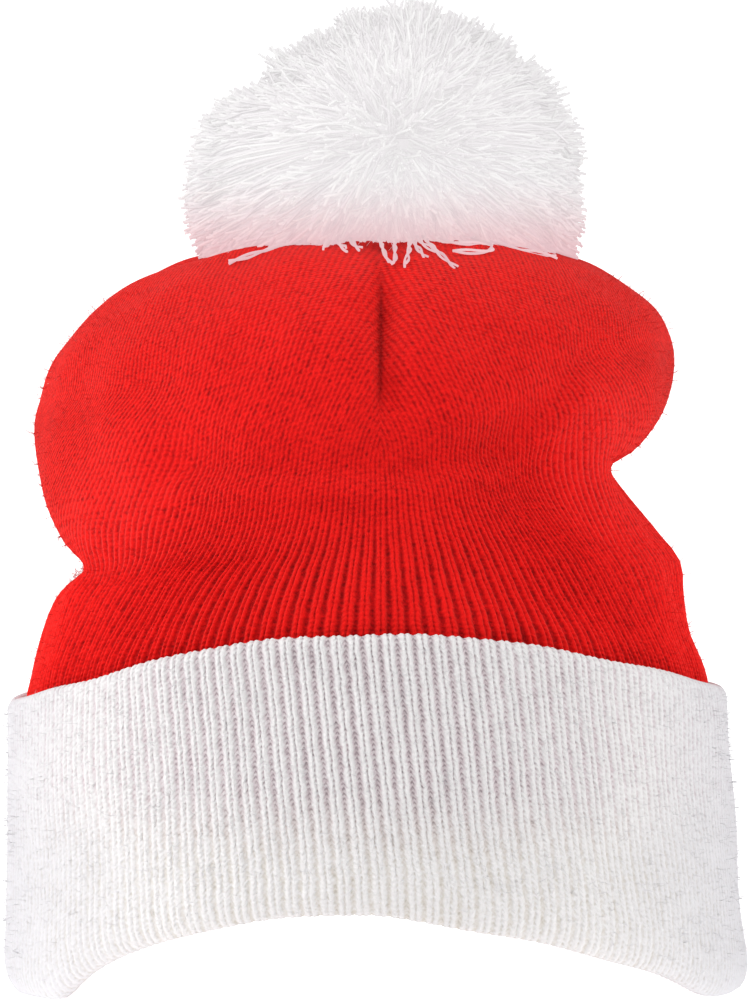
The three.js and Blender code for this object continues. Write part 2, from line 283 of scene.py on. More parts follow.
def rib_knit(name, colours, levels, halo_weight, behind=None):
    """Brushed acrylic in one-by-one rib: soft matt strands, dark pinholes between them and a pale halo."""
    hole_shade_colour, furrow_shade_colour, yarn_colour, halo_colour = colours
    split_level, floor_level, ladder, closed_floor = levels
    material, tree = new_material(name)
    uv = add_node(tree, "UVMap", uv_map="knit")[0]
    fields = ("opened", "painted_shade", "backed")
    opened, painted_shade, backed = (add_node(tree, "Attribute", attribute_name=field)["Fac"] for field in fields)
    place = add_node(tree, "TexCoord")["Object"]

    def when(closed, pulled_open):
        return ranged(tree, opened, (closed, pulled_open))

    # The strands waver a little from stitch to stitch.
    stretched = add_node(tree, "Mapping", {"Vector": uv, "Scale": (0.9, 0.4, 1.0)})[0]
    sway = ranged(tree, noise(tree, stretched, 1.0, 2.0), (-0.09, 0.09))
    axes = add_node(tree, "SeparateXYZ", {"Vector": uv})
    across = maths(tree, "PINGPONG", maths(tree, "ADD", axes["X"], sway), 0.5)

    # Two strands stand on each wale, and an opened rib leaves a broad furrow beside them.
    split = ranged(tree, across, (when(0.2, split_level), 1.0), (0.0, when(*SPLIT_EDGE)), **SMOOTH)
    strand_to_foot = (when(*STRAND_EDGE), when(*STRAND_FOOT))
    flank = ranged(tree, across, (1.0, when(0.2, floor_level)), strand_to_foot, **SMOOTH)
    wale = maths(tree, "MINIMUM", split, flank)

    # Each course is a bead that slants up from the middle of the wale, and a level bar in the furrow.
    sideways = maths(tree, "MINIMUM", across, 0.24)
    slant = maths(tree, "MULTIPLY_ADD", sideways, 1.3, axes["Y"])
    slant = maths(tree, "MULTIPLY_ADD", sway, 1.5, slant)
    bead = maths(tree, "SINE", maths(tree, "MULTIPLY", slant, FULL_TURN))
    bead = ranged(tree, bead, (when(0.58, 0.8), 1.0), (-1.0, 1.0))
    beads = maths(tree, "MULTIPLY", wale, bead)

    # A pinhole shows in the furrow at each course, and a smaller one in the split between the strands.
    beat = maths(tree, "SINE", maths(tree, "MULTIPLY", axes["Y"], FULL_TURN))
    beat = ranged(tree, beat, (-1.0, 0.0), (-1.0, 0.3))
    furrow = ranged(tree, across, (0.0, ladder), (0.36, 0.46), **SMOOTH)
    middle = ranged(tree, across, (0.75 * ladder, 0.0), (0.0, 0.09), **SMOOTH)
    open_holes = when(0.14, ranged(tree, backed, (0.4, 1.0)))
    holes = maths(tree, "MULTIPLY", maths(tree, "ADD", furrow, middle), open_holes)
    height = maths(tree, "MULTIPLY_ADD", beat, holes, beads)

    # A closed rib is nearly smooth, but each of its stitches lies a little higher or lower than the next.
    height = ranged(tree, height, (when(closed_floor, 0.0), 1.0), clamp=False)
    stitches = add_node(tree, "Mapping", {"Vector": uv, "Scale": (2.0, 1.0, 1.0)})[0]
    uneven = ranged(tree, noise(tree, stitches, 0.9, 1.0), (-0.9, 0.75))
    unevenness_closed = 0.7 * (1 - closed_floor) ** 2
    how_uneven = when(unevenness_closed, 0.5 * unevenness_closed)
    height = maths(tree, "MULTIPLY_ADD", uneven, how_uneven, height)

    # Loose fibres blur the stitches, and the yarn's tone drifts a little.
    nap = ranged(tree, noise(tree, place, 1 / (FIBRE * 4 * MM), 3.0), (-0.2, 0.75))
    rough = maths(tree, "ADD", nap, height)
    drift = ranged(tree, noise(tree, place, 1 / (HEATHER * MM), 3.0), (-0.16, 0.16))
    depth = maths(tree, "ADD", rough, drift)
    # Painted shade: the colour darkens from the strands into the furrows and holes, with random tone from the
    # nap and drift.
    colour = colour_ramp(tree, depth, (0.2, hole_shade_colour), (0.5, furrow_shade_colour), (0.95, yarn_colour))

    # What lies behind the cloth shows faintly through its furrows, and a painted shade greys the white where
    # the rib is closed, for closed ribs that shade each other.
    if behind:
        over_lining, over_crown, closed_shade_tint = (linear(tint) for tint in behind)
        gap = ranged(tree, depth, (1.0, 0.0), (0.4, 0.9))
        seen_through = mixed(tree, backed, over_lining, over_crown)
        colour = mixed(tree, gap, colour, seen_through, blend_type="MULTIPLY")
        unshaded = ranged(tree, opened, (0.0, 1.0), (0.05, 0.5))
        shaded = mixed(tree, unshaded, closed_shade_tint, linear("#ffffff"))
        colour = mixed(tree, 1.0, colour, shaded, blend_type="MULTIPLY")

    # Painted shade: the seams and the front crease are darkened towards the shade colour of the holes.
    colour = mixed(tree, painted_shade, colour, linear(hole_shade_colour))
    bump = add_node(tree, "Bump", {"Height": rough, "Strength": 0.85, "Distance": STITCH_RELIEF * MM})[0]
    look = {"Base Color": colour, "Normal": bump, "Roughness": 0.92, "IOR": 1.48, "Specular IOR Level": 0.15}
    halo = {"Sheen Weight": halo_weight, "Sheen Roughness": 0.55, "Sheen Tint": linear(halo_colour)}
    finish_material(tree, look, halo)
    return material


red_colours = ("#860205", "#bd080b", "#e71512", "#ff4c42")  # painted shade in the holes, painted shade in the furrow, yarn and halo
red_knit = rib_knit("red_brushed_acrylic_rib", red_colours, (0.45, 0.17, 0.35, 0.18), 0.45)
# painted shade in the holes, painted shade in the furrow, yarn and halo, in white
white_colours = ("#b0acad", "#d7d4d5", "#e4e2e2", "#ffffff")
white_levels = (0.48, 0.3, 0.38, 0.55)
through_white = ("#f6f2e6", "#f4e6ea", "#e2e2e7")  # cream over lining, pink over crown, painted shade where closed
white_knit = rib_knit("white_brushed_acrylic_rib", white_colours, white_levels, 0.12, through_white)
print("knit materials:", red_knit.name, white_knit.name)

# %% [markdown]
# ## The crown's shape
# The crown is a tube of rib knit whose top is gathered by four sewn darts. It hangs over itself in a deep
# fold round the sides and back, and in a flatter crease across the front. Its shape is a stack of rings, one
# table row for each, with a smooth curve through every column of the table. The same rows shape the solid,
# and here they are sampled finely enough to carry every wale.

# %% The crown's rings
CUFF_FRONT_RISE = 15.4
SEAT_GAP = 0.3
CROWN_COLUMNS = ("up", "tilt", "half", "shift", "front", "back", "rise", "pinch")
CROWN_ROWS = np.array([
    (56, 1.16, 79, -1.6, 92, 92, 1, 0),  # edge in the cuff
    (70, 1, 78.8, -1.8, 91.6, 91.6, 1, 0),  # cuff line
    (82.3, 0.6, 75.3, -2.2, 89, 89.5, 0.8, 0),  # flank
    (90.9, 0.9, 73.2, -1.5, 86.5, 88, 0.65, 0),  # temples
    (96.5, 2.4, 71.4, -0.4, 84.7, 87, 0.55, 0),  # brow
    (101.1, 4.7, 68.8, -2.2, 83.5, 86.5, 0.5, 1.5),  # dip
    (109.7, 10.3, 70.3, -6.6, 82.5, 87, 0.4, 8.5),  # fold
    (115.6, 9.1, 71.5, -5.8, 82.5, 88, 0.3, 3.6),  # lip of the bag
    (125.1, 7.9, 73.2, -5.2, 82.5, 88.5, 0.1, 0.3),  # foot of the bag
    (137.5, 6.2, 74.5, -5.2, 81, 87.5, 0, 0),  # widest
    (145.5, 5.5, 73.2, -5, 78, 84.5, 0, 0),  # upper bag
    (154, 4.3, 69.1, -4.6, 72, 77.5, 0, 0),  # shoulder
    (163.6, 2.4, 58.6, -2.9, 60.5, 64, 0, 0),  # turn
    (169.6, 1.7, 46, -1, 47, 49, 0, 0),  # upper dome
    (173, 1, 30, 0, 30.5, 31.5, 0, 0),  # under the pompom
    (175, 0, 0, 1, 0, 0, 0, 0),  # where the darts meet
])
FOLD_FADE = (-0.7, -0.15)  # sine of the angle over which the fold fades out to the front


def eased(value, start, end):
    share = np.clip((value - start) / (end - start), 0, 1)
    return share * share * (3 - 2 * share)


def bell(distance, width):
    return np.exp(-((distance / width) ** 2))


def crown_value(column, row):
    values = CROWN_ROWS[:, CROWN_COLUMNS.index(column)]
    last = len(values) - 1
    start = np.clip(np.floor(row).astype(int), 0, last - 1)
    t = np.clip(row - start, 0, 1)
    before, here, after, later = (values[np.clip(start + k, 0, last)] for k in (-1, 0, 1, 2))
    leave, arrive = (after - before) / 2, (later - here) / 2
    cubic = 2 * (here - after) + leave + arrive
    square = 3 * (after - here) - 2 * leave - arrive
    return ((cubic * t + square) * t + leave) * t + here


def front_rise(angle):
    return CUFF_FRONT_RISE * np.sin(angle) ** 2


def bag_point(angle, row):
    tilt = np.radians(crown_value("tilt", row))
    pinch = crown_value("pinch", row) * eased(np.sin(angle), *FOLD_FADE)
    depth = np.where(np.sin(angle) < 0, crown_value("front", row), crown_value("back", row))
    reach = np.maximum(0, crown_value("half", row) - pinch) * np.cos(angle)
    x = crown_value("shift", row) + reach * np.cos(tilt)
    y = np.maximum(0, depth - pinch) * np.sin(angle)
    z = crown_value("up", row) + reach * np.sin(tilt) + crown_value("rise", row) * front_rise(angle)
    return np.stack((x, y, z + SEAT_GAP), axis=-1)


print("crown rows:", len(CROWN_ROWS), "widest ring:", 2 * CROWN_ROWS[:, 2].max(), "mm")

# %% [markdown]
# ## Ribs in the mesh
# There are 136 ribs round the hat. A plain even grid would need many columns to show the two strands of
# each wale, so the columns are placed where the section needs them: on the strands, in the split between
# them, on their flanks and in the furrow. The strands waver as real knitting does, and the columns waver
# with them.

# %% Columns that follow the strands
RIBS = 136
STRAND_PLACES = np.array((0, 0.1, 0.2, 0.31, 0.5, 0.69, 0.8, 0.9))  # shares of a rib, from its middle
STRAND_SWAY = 0.016  # of a rib
SWAY_LENGTHS = (7.3, 4.1, 13.0)
SWELL_WAVES = 14
CLOSED_DIP = 0.1  # how high the split between the strands is in a closed rib
RIB_START = radians(5)  # where the first dart and the first rib are
rib_columns = (np.arange(RIBS)[:, None] + STRAND_PLACES).ravel()
column_angles = RIB_START + FULL_TURN * rib_columns / RIBS


def strand_height(across, opened, split_level):
    """Height of the rib's section, from 0 in the furrow to 1 on a strand."""
    off_middle = np.abs(across - np.round(across))
    edges = (STRAND_EDGE, STRAND_FOOT, SPLIT_EDGE)
    strand, foot, brow = (closed + (pulled - closed) * opened for closed, pulled in edges)
    dip = CLOSED_DIP + (split_level - CLOSED_DIP) * opened
    split = dip + (1 - dip) * eased(off_middle, 0, brow)
    flank = 1 - eased(off_middle, strand, foot)
    return np.minimum(split, flank)


def strand_sway(rows_along, seed):
    """Sideways wander of every column as an angle, the same for the columns of one strand."""
    draw = np.random.default_rng(seed)
    strands = np.floor(2 * rib_columns).astype(int)
    phase = draw.uniform(0, FULL_TURN, (len(SWAY_LENGTHS), 2 * RIBS))[:, strands]
    turns = FULL_TURN * rows_along[:, None]
    waves = sum(np.sin(turns / length + start) for length, start in zip(SWAY_LENGTHS, phase))
    return STRAND_SWAY * waves * FULL_TURN / RIBS


def unevenness(points, wavelength, seed):
    """Smooth random swells, about -1 to 1, made of waves that cross in all directions."""
    draw = np.random.default_rng(seed)
    total = np.zeros(points.shape[:-1])
    for _ in range(SWELL_WAVES):
        wave = draw.normal(size=3)
        wave *= FULL_TURN / (np.linalg.norm(wave) * wavelength * draw.uniform(0.7, 1.5))
        total += np.sin(points @ wave + draw.uniform(0, FULL_TURN))
    return total / np.sqrt(SWELL_WAVES)


print("columns round the hat:", len(rib_columns))

# %% [markdown]
# ## Folds of the crown
# Knit this thick makes soft folds, so each one is a smooth dent or swell along the surface's own normal.
# The darts and the front crease are the solid's. The smaller ones, such as the puffs beside the front dart
# and the hollow at its lower end, are only in this mesh, because they are a millimetre or two high.

# %% Darts, crease and puffs
DARTS = 4
DART_DEPTH = 3.4
DART_WIDTH = 5
DART_ROWS = (9, 12)
DART_SHALLOW = (0.6, 11, 12.5)  # how much of it is lost under the pompom, and over which rows
SEAM_DEPTH = 2.8  # the stitched line in the dart
SEAM_WIDTHS = (1.4, 5)  # steep on its left side and slow on its right
SEAM_ROWS = (8.3, 9.4, 11.4, 12.9)  # it deepens over the first two and goes shallow over the last two
SEAM_KEPT = 0.15  # of its depth above those
SEAM_LINE = (0.8, 0.7)  # how dark the painted shade along its stitched line is, and how wide
SEAM_SHADE = (0.24, 8)  # how dark the painted shade on its right side is, and the distance over which that fades
CREASE_POINTS = np.array([(-44, 122), (10, 121.5), (29, 126), (48, 144)])  # across and up
CREASE_DEPTH = 1.8
CREASE_WIDTH = 6
# CREASE_SHADE: how dark the painted shade along the front crease is, and how wide
CREASE_SHADE = (0.04, 4)
RIDGE_DROP = 5  # the bright ridge runs this far below the crease
RIDGE_HEIGHT = 1.8
RIDGE_WIDTH = 3.6
FRONT_PUFFS = (  # across, up, half width, half height and rise
    (-12, 151, 15, 10, 1.4),  # left of the dart
    (15, 138, 8, 13, 1.7),  # right of the dart
    (5, 137, 4, 8, -1.2),  # hollow at the dart's lower end
    (-58, 119, 11, 9, -0.7),  # dent at the left side
    (51, 124, 4, 8, -0.6),  # nick at the right side
)


def distance_to_line(points, line):
    seen = points[..., (0, 2)]
    nearest = np.full(seen.shape[:-1], np.inf)
    for start, end in zip(line[:-1], line[1:]):
        run = end - start
        share = np.clip((seen - start) @ run / (run @ run), 0, 1)[..., None]
        nearest = np.minimum(nearest, np.linalg.norm(seen - start - share * run, axis=-1))
    return nearest


def fold_height(points, from_dart, row):
    """How far the folds move the crown's surface out, or in where it is below zero, and how much shade is
    painted on it.
    """
    off_dart = from_dart * crown_value("half", row)
    gathered = 1 - DART_SHALLOW[0] * eased(row, *DART_SHALLOW[1:])
    height = -DART_DEPTH * gathered * eased(row, *DART_ROWS) * bell(off_dart, DART_WIDTH)
    seam = eased(row, *SEAM_ROWS[:2]) * (1 - (1 - SEAM_KEPT) * eased(row, *SEAM_ROWS[2:]))
    seam = seam * (np.abs(points[..., 1]) > np.abs(points[..., 0]))  # the side darts are too slack to show it
    height -= SEAM_DEPTH * seam * bell(off_dart, np.where(off_dart < 0, *SEAM_WIDTHS))
    # Painted shade along the dart's stitched line and over its right side, where the left panel's shadow
    # falls, and faintly along the front crease.
    right_side = np.where(off_dart < 0, 0, np.exp(-off_dart / SEAM_SHADE[1]))
    painted_shade = seam * (SEAM_SHADE[0] * right_side + SEAM_LINE[0] * bell(off_dart, SEAM_LINE[1]))
    front = points[..., 1] < 0
    from_crease = distance_to_line(points, CREASE_POINTS)
    painted_shade += CREASE_SHADE[0] * front * bell(from_crease, CREASE_SHADE[1])
    height -= front * CREASE_DEPTH * bell(from_crease, CREASE_WIDTH)
    from_ridge = distance_to_line(points, CREASE_POINTS - (0, RIDGE_DROP))
    height += front * RIDGE_HEIGHT * bell(from_ridge, RIDGE_WIDTH)
    for across, up, wide, tall, rise in FRONT_PUFFS:
        off = np.hypot((points[..., 0] - across) / wide, (points[..., 2] - up) / tall)
        height += front * rise * bell(off, 1)
    return height, painted_shade


print("front folds:", len(FRONT_PUFFS) + 2, "darts:", DARTS)

# %% [markdown]
# ## Grids of knit
# Each knitted piece is a grid of points whose columns run round the hat and whose rows run up it. The rows
# are spread evenly along the fabric, not evenly in height, so that the stitches keep their size over the
# dome. Each face is given its rib and course counts as U and V.

# %% Normals, lengths and even rows
def outward(grid):
    """Normals of a grid of points whose columns run anticlockwise round the hat and whose rows run up it."""
    round_step = np.roll(grid, -1, axis=1) - np.roll(grid, 1, axis=1)
    normal = np.cross(round_step, np.gradient(grid, axis=0))
    return normal / np.linalg.norm(normal, axis=2, keepdims=True)


def length_along(points):
    """Distance run along the first axis."""
    steps = np.linalg.norm(np.diff(points, axis=0), axis=-1)
    return np.concatenate((np.zeros_like(steps[:1]), np.cumsum(steps, axis=0)))


def even_rows(first, last, count):
    fine = np.linspace(first, last, 900)
    ring = bag_point(np.linspace(0, FULL_TURN, 48, endpoint=False)[None, :], fine[:, None])
    along = length_along(ring).mean(axis=1)
    return np.interp(np.linspace(0, along[-1], count), along, fine)


side_line = bag_point(np.zeros(400), np.linspace(0, len(CROWN_ROWS) - 1, 400))
print("cloth from the crown's edge to its top in mm:", length_along(side_line)[-1].round())

# %% Faces, stitch counts and closing rings
def grid_faces(rows_up, columns, start=0):
    index = start + np.arange(rows_up * columns).reshape(rows_up, columns)
    beside = np.roll(index, -1, axis=1)
    return np.stack((index[:-1], beside[:-1], beside[1:], index[1:]), axis=-1).reshape(-1, 4)


def knit_uv(along, left_ribs, right_ribs):
    """Rib and course counts for each corner of a grid's faces."""
    left = np.stack((left_ribs, along / COURSE), axis=-1)
    right = np.stack((right_ribs, np.roll(along, -1, axis=1) / COURSE), axis=-1)
    return np.stack((left[:-1], right[:-1], right[1:], left[1:]), axis=2).reshape(-1, 4, 2)


def plain_ribs(ribs, rows):
    return [np.broadcast_to(line, (rows, len(ribs))) for line in (ribs, np.append(ribs[1:], RIBS))]


def joined_rings(fine, coarse):
    """Triangles between two rings, the first with a whole number of points for each of the second's."""
    share = len(fine) // len(coarse)
    edges = np.arange(len(fine))
    owner = coarse[((edges + share // 2) // share) % len(coarse)]
    teeth = np.column_stack((np.roll(fine, -1), fine, owner))
    turns = fine[np.arange(len(coarse)) * share + share // 2]
    return np.concatenate((teeth, np.column_stack((turns, coarse, np.roll(coarse, -1)))))


def fan(ring, tip):
    return np.column_stack((ring, np.roll(ring, -1), np.full(len(ring), tip)))


print("grid helpers ready")

# %% [markdown]
# ## How the wales run
# On the head the cuff holds the rib open. Above it the ribs draw together, most of all at the front, and
# the columns of the mesh move in with them. Above the widest ring the darts take fabric out: the wales lean
# in beside the front dart and meet there in a chevron. That is done in U alone: each point of the mesh asks
# which rib of the dart's foot would arrive there.

# %% Rib counts that draw together and run into the darts
DART_FOOT_ROW = 7
DART_LEAN = 0.9  # how far a wale beside the dart comes in for each millimetre of height
DART_START = 18  # height over which the lean sets in
DART_SPREAD = 42  # distance over which it fades out to the sides
DRAWN_SHARE = 0.385  # how much narrower a front rib is in the bag than at the cuff
DRAWN_HEIGHTS = (80, 124)  # heights over which the ribs draw together
DRAWN_REACH = (0.5, 0.95)  # shares of the way to the side over which they no longer do
BAG_ROWS = (6.5, 10)  # over these rows the narrow rib spreads all round the bag
WIDEST_ROW = 9
LEAN_ROUNDS = 30  # each round brings a wale's start closer to the one that ends at the point


def drawn_in(share, row, facing, all_round):
    """How far a wale is from its dart, as a share of the way to the side, from that share at the cuff."""
    across = facing * crown_value("half", row) * np.sin(np.pi / 2 * np.clip(0.75 * share, -1, 1))
    up = crown_value("up", row) + across * np.sin(np.radians(crown_value("tilt", row)))
    up = up + crown_value("rise", row) * CUFF_FRONT_RISE
    held = eased(np.abs(share), *DRAWN_REACH) * (1 - all_round)
    return share * (1 - DRAWN_SHARE * eased(up, *DRAWN_HEIGHTS) * (1 - held))


def wales_on(surface, rows_up, ribs):
    """Rib counts at the left and right corners of a grid's faces, with wales that run into the darts."""
    per_gore = RIBS // DARTS
    columns = len(ribs)
    girth = length_along(np.append(surface, surface[:, :1], axis=1).swapaxes(0, 1)).T
    foot, widest = np.searchsorted(rows_up, (DART_FOOT_ROW, WIDEST_ROW))
    marks = np.append(ribs, RIBS)
    corners = [np.zeros((len(surface), columns)) for _ in range(2)]
    at_cuff = np.linspace(0, 3, 600)
    for gore in range(DARTS):
        first, last = np.searchsorted(marks, (gore * per_gore, (gore + 1) * per_gore))
        dart = last if gore % 2 == 0 else first  # the darts at the back and the front take the fabric in
        away = np.abs(girth[:, first : last + 1] - girth[:, dart, None])
        to_side = away.max(axis=1)
        to_side[widest:] = to_side[widest]
        dart_up = surface[:, dart % columns, 2]
        risen = np.maximum(0, dart_up - dart_up[foot])[:, None]
        taken = DART_LEAN * risen**2 / (risen + DART_START)
        start = away.copy()
        for _ in range(LEAN_ROUNDS):
            start = 0.5 * start + 0.5 * (away + taken * np.exp(-start / DART_SPREAD))
        side = -1 if dart == last else 1
        facing = -1 if gore < DARTS // 2 else 1
        for k, row in enumerate(rows_up):
            drawn = side * drawn_in(side * at_cuff, row, facing, eased(row, *BAG_ROWS))
            found = marks[dart] + side * per_gore * np.interp(start[k] / to_side[k], drawn, at_cuff)
            corners[0][k, first:last] = found[:-1]
            corners[1][k, first:last] = found[1:]
    return corners


print("ribs in each gore:", RIBS // DARTS)

# %% Mesh columns that follow the wales
DART_PLACE = 1.4  # where the front dart is, across
PLAIN_ROWS = (8, 12)  # over these rows the columns of the mesh stop following the wales


def hung(angles, rows_up):
    """Angles of the columns, moved so that they follow the ribs, which draw together above the cuff."""
    moved = angles.copy()
    ribs = (angles - RIB_START) / FULL_TURN * RIBS
    for k, row in enumerate(rows_up[:, 0]):
        for half in range(2):
            own = (ribs[k] >= RIBS / 2) == bool(half)
            fine = RIB_START + np.pi * (half + np.linspace(0, 1, 300))
            ring = bag_point(fine, row)
            run = length_along(ring)
            middle = np.interp(DART_PLACE, ring[:, 0], run) if half else run[-1] / 2
            share = (ribs[k, own] - RIBS * (0.25 + 0.5 * half)) / (RIBS / 4)
            drawn = drawn_in(share, row, 2 * half - 1, 0)
            drawn += eased(row, *PLAIN_ROWS) * (share - drawn)
            to_side = np.where(drawn < 0, middle, run[-1] - middle)
            moved[k, own] = np.interp(middle + drawn * to_side, run, fine)
    return moved


print("columns follow the wales up to row", PLAIN_ROWS[0])

# %% [markdown]
# ## Crown mesh
# In the photograph the side folds come to nothing towards the front, where the slack of the bag fills them,
# so the rows are smoothed there. The wales are then pressed into the surface, deep where the rib is pulled
# open above the cuff and shallow further up. A plain lining with fewer columns closes the mesh, so that it is
# a real wall three millimetres thick.

# %% Slack, folds and swells of the crown
SLACK_SINES = (-0.6, -0.2)  # sine of the angle over which the fold comes back towards the sides
SLACK_ROWS = (2.5, 4.5, 8, 10)
SLACK_SPAN = 0.06  # of all rows
SWELL = 0.5
SWELL_LENGTH = 26


def slackened(points, angles, rows_up):
    """The grid with its fold drawn out smooth towards the front, where the slack of the bag fills it."""
    number = np.arange(len(points))
    weights = bell(number[:, None] - number, SLACK_SPAN * len(points))
    smooth = np.einsum("kj,jcx->kcx", weights / weights.sum(axis=1, keepdims=True), points)
    kept = eased(np.sin(angles), *SLACK_SINES)
    among = eased(rows_up, *SLACK_ROWS[:2]) * (1 - eased(rows_up, *SLACK_ROWS[2:]))
    return points + ((1 - kept) * among)[..., None] * (smooth - points)


def crown_surface(angles, rows_up, depth):
    """The crown's folded surface on a grid, sunk by the depth, and how much shade is painted on each point.
    """
    gore = FULL_TURN / DARTS
    nearest = RIB_START + gore * np.round((angles - RIB_START) / gore)
    moved = hung(angles, rows_up)
    points = slackened(bag_point(moved, rows_up), moved, rows_up)
    folds, painted_shade = fold_height(points, moved - hung(nearest, rows_up), rows_up)
    swell = folds + SWELL * unevenness(points, SWELL_LENGTH, 11)
    return points + outward(points) * (swell - depth)[..., None], painted_shade


print("slack fills the front between rows", SLACK_ROWS[0], "and", SLACK_ROWS[-1])

# %% Outer face of the crown
TOP_ROW = 14.7
HIDDEN_TOP = 0.9  # the rows up to here are hidden in the cuff, so they are few
HIDDEN_ROWS = 3
OUTER_ROWS = 84
CROWN_RELIEF = 1.05  # from furrow to strand where the rib is open
BAG_RELIEF = 0.3  # and where it is closed, but the wales of the bag are left to the material
CROWN_SPLIT = 0.6
OPEN_ROWS = (2, 7)  # the rib closes up over these rows
OPEN_MOST = 0.9
OPEN_SIDES = 0.55  # over the ears, as a share of the front
KNIT_LOFT = 0.6  # the strands stand this far out of the solid's face
SWAY_RUN = 200

hidden_rows = even_rows(0, HIDDEN_TOP, HIDDEN_ROWS + 1)[:-1]
outer_rows = np.concatenate((hidden_rows, even_rows(HIDDEN_TOP, TOP_ROW, OUTER_ROWS - HIDDEN_ROWS)))
angles, rows_up = np.meshgrid(column_angles, outer_rows)
sway = strand_sway(np.linspace(0, SWAY_RUN, OUTER_ROWS), 3)
crown_outer, painted_shade = crown_surface(angles + sway, rows_up, -KNIT_LOFT)
wales = wales_on(bag_point(hung(angles, rows_up), rows_up), outer_rows, rib_columns)
outer_uv = knit_uv(length_along(crown_outer), *wales)
stretched = OPEN_SIDES + (1 - OPEN_SIDES) * np.sin(angles) ** 2  # pulled open in front, closed over the ears
opened = OPEN_MOST * stretched * (1 - eased(rows_up, *OPEN_ROWS))
relief = CROWN_RELIEF * opened + BAG_RELIEF * (1 - opened) * (1 - eased(rows_up, *BAG_ROWS))
crown_normals = outward(crown_outer)
crown_outer -= crown_normals * (relief * (1 - strand_height(wales[0], opened, CROWN_SPLIT)))[..., None]
print("outer face of the crown, rows and columns:", angles.shape)

# %% Crown mesh with its lining, rim and top
CROWN_WALL = 3
LINING_ROWS = 36

lining_rows = even_rows(0, TOP_ROW, LINING_ROWS)
crown_lining, _ = crown_surface(*np.meshgrid(column_angles[:: len(STRAND_PLACES)], lining_rows), CROWN_WALL)
lining_uv = knit_uv(length_along(crown_lining), *plain_ribs(np.arange(RIBS), LINING_ROWS))

count = crown_outer.shape[0] * crown_outer.shape[1]
lining_faces = grid_faces(LINING_ROWS, RIBS, count)
rim = joined_rings(np.arange(len(rib_columns)), count + np.arange(RIBS))
tips = count + LINING_ROWS * RIBS + np.arange(2)
outer_top = fan(np.arange(count - len(rib_columns), count), tips[0])
lining_top = fan(np.arange(tips[0] - RIBS, tips[0]), tips[1])
poles = [crown_outer[-1].mean(axis=0), crown_lining[-1].mean(axis=0)]
points = np.concatenate((crown_outer.reshape(-1, 3), crown_lining.reshape(-1, 3), poles))
faces = [grid_faces(*angles.shape), lining_faces[:, ::-1], rim, outer_top, lining_top[:, ::-1]]
hidden_uv = [np.zeros((len(group), 3, 2)) for group in faces[2:]]
inside = np.zeros(len(points) - count)
crown_fields = {"opened": np.append(opened, inside + 0.5), "painted_shade": np.append(painted_shade, inside)}
crown_uv = [outer_uv, lining_uv[:, ::-1], *hidden_uv]
crown_knit = mesh_object("crown_knit", points, faces, red_knit, crown_uv, crown_fields)
add_piece(crown_knit, "crown")

# %% [markdown]
# ## Cuff
# The cuff is one band of white rib, turned up so that two layers lie on each other, with the red crown
# knitted on inside. Its section runs round the soft bottom fold, up the outer face, over the lip, down and up
# the narrow slot between the layers, and down the lining. One closed path of a few lines and arcs gives that
# section, and it is carried round the head, higher at the front and back than over the ears. Where the fold
# rests on the table it is pressed flat, and so are its ribs.

# %% The cuff's section
CUFF_WALL = 3.6
LAYER_GAP = 1.2
BULGE_HEIGHT = 9
FACE_HOLLOW = 0.4  # the outer face is hollowed by this much half-way up
COLOUR_CHANGE_DEPTH = 13
LIP_MIDDLE = 2  # inset of the lip
LIP_HALF = 1.6
LIP_HEIGHT = 2.4
FOLD_INSIDE = 7
FOLD_FULLER = 1.2  # how much thicker the fold is than the layers above it
FOLD_PRESSED = 0.3  # how far it is pressed flat
SLOT_LIFT = 10.5
SLOT_FOOT_LIFT = 9.8
LINING_INSET = CUFF_WALL + LAYER_GAP
LINING_FACE = LINING_INSET + CROWN_WALL
FACE_ROWS = 56
FOLD_ROWS = 13
LIP_ROWS = 7


def line_of(start, end, count):
    share = np.linspace(0, 1, count + 2)[1:-1, None]
    return np.array(start) + share * (np.array(end) - np.array(start))


def cuff_section():
    """Rows of inset, level, lift and rib relief, from the fold up the outer face and back by the lining."""
    turn = np.linspace(0, np.pi, LIP_ROWS)
    lip_inset = LIP_MIDDLE - LIP_HALF * np.cos(turn)
    lip_lift = LIP_HEIGHT * np.sin(turn) - LIP_HEIGHT
    lip = np.column_stack((lip_inset, np.ones(LIP_ROWS), lip_lift, np.linspace(1, 0, LIP_ROWS)))
    turn = np.linspace(np.pi, 0, FOLD_ROWS)
    share = turn / np.pi
    fold_inset = (LINING_FACE + FOLD_FULLER) / 2 * (1 - np.cos(turn))
    fold_rise = BULGE_HEIGHT + (FOLD_INSIDE - BULGE_HEIGHT) * share
    fold_lift = np.maximum(0, fold_rise * (1 - np.sin(turn)) - FOLD_PRESSED * np.sin(turn))
    fold = np.column_stack((fold_inset, np.zeros(FOLD_ROWS), fold_lift, 1 - 0.5 * share))
    face = line_of((0, 0, BULGE_HEIGHT, 1), lip[0], FACE_ROWS)
    face[:, 0] += FACE_HOLLOW * np.sin(np.linspace(0, np.pi, FACE_ROWS))
    slot = line_of(lip[-1], (CUFF_WALL, 0, SLOT_LIFT, 0), 3)
    foot = np.array([(LINING_INSET - LAYER_GAP / 2, 0, SLOT_FOOT_LIFT, 0)])
    seam = (1, -COLOUR_CHANGE_DEPTH, 0)
    inner_slot = line_of((LINING_INSET, 0, SLOT_LIFT, 0), (LINING_INSET, *seam), 3)
    edge = line_of((LINING_INSET - 0.5, *seam), (LINING_FACE + 0.5, *seam), 2)
    lining = line_of((LINING_FACE, 1, -COLOUR_CHANGE_DEPTH, 0.5), fold[0], 5)
    return np.concatenate((fold, face, lip, slot, foot, inner_slot, edge, lining))


section = cuff_section()
print("cuff section rows:", len(section))

